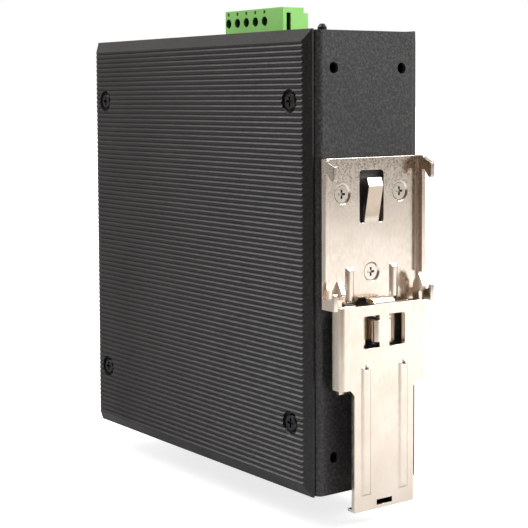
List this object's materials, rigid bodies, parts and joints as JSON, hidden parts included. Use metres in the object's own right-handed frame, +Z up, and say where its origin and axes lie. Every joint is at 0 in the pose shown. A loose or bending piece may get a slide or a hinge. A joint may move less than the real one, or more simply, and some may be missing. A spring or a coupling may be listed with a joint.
{
  "type": "din rail ethernet switch",
  "caption": "Slim black industrial network switch with grooved side covers, a row of ports in front and a sprung metal clip for a 35 mm rail behind",
  "frame": {"origin": "middle of the rail seat: on the clip's seating plane, midway between its two flanges and midway between the notches for the rail's edges", "axes": "+Y out of the clip's back towards the rail, +X across the case towards the side away from the terminal plug, +Z up"},
  "size_m": [0.0436, 0.1313, 0.1473],
  "materials": {
    "cover_black": "fine semi-matt black powder coat on extruded aluminium",
    "case_black": "fine-textured matt black powder coat on folded steel",
    "screw_black": "blackened steel, slightly glossy",
    "screw_steel": "zinc-plated steel",
    "nickel_sheet": "warm nickel-plated spring sheet, semi-bright",
    "spring_steel": "drawn spring wire",
    "board_green": "green solder mask over glass laminate",
    "brass": "turned brass",
    "gold_contact": "gold-plated contact wire",
    "lamp_holder": "black moulded lamp holder",
    "lamp_lens": "pale green tinted lens",
    "chip_black": "black moulded package",
    "thermal_grey": "soft grey gap filler",
    "can_steel": "drawn can, lightly brushed",
    "ferrite": "dark pressed ferrite",
    "relay_plastic": "black moulded relay case",
    "terminal_green": "light green moulded polyamide",
    "tinned_pin": "tinned contact pin",
    "jack_shell": "tinned socket shield over a black insert"
  },
  "bodies": {
    "case": {"left_cover": "cover_black", "right_cover": "cover_black", "rear_chassis": "case_black", "front_frame": "case_black", "cover_screws": "screw_black", "frame_screws": "screw_steel", "rail_bracket": "nickel_sheet", "bracket_screws": "screw_steel", "slider_spring": "spring_steel", "main_board": "board_green", "board_standoffs": "brass", "board_screws": "screw_steel", "jack_contacts": "gold_contact", "led_holders": "lamp_holder", "led_lenses": "lamp_lens", "switch_chip": "chip_black", "thermal_pad": "thermal_grey", "clock_crystal": "can_steel", "bulk_capacitors": "can_steel", "power_inductor": "ferrite", "fault_relay": "relay_plastic", "terminal_header": "terminal_green", "header_pins": "tinned_pin", "terminal_plug": "terminal_green", "clamp_screws": "screw_steel", "rj45_jack_1": "jack_shell", "rj45_jack_2": "jack_shell", "rj45_jack_3": "jack_shell", "rj45_jack_4": "jack_shell", "rj45_jack_5": "jack_shell"},
    "slider": {"release_slider": "nickel_sheet"}
  },
  "joints": [
    {"name": "release_slide", "type": "slide", "parent": "case", "child": "slider", "axis": [0, 0, -1], "range_m": [0, 0.006], "stiffness_N_per_m": 1500, "springref_m": -0.004, "deforming": ["slider_spring"]}
  ]
}
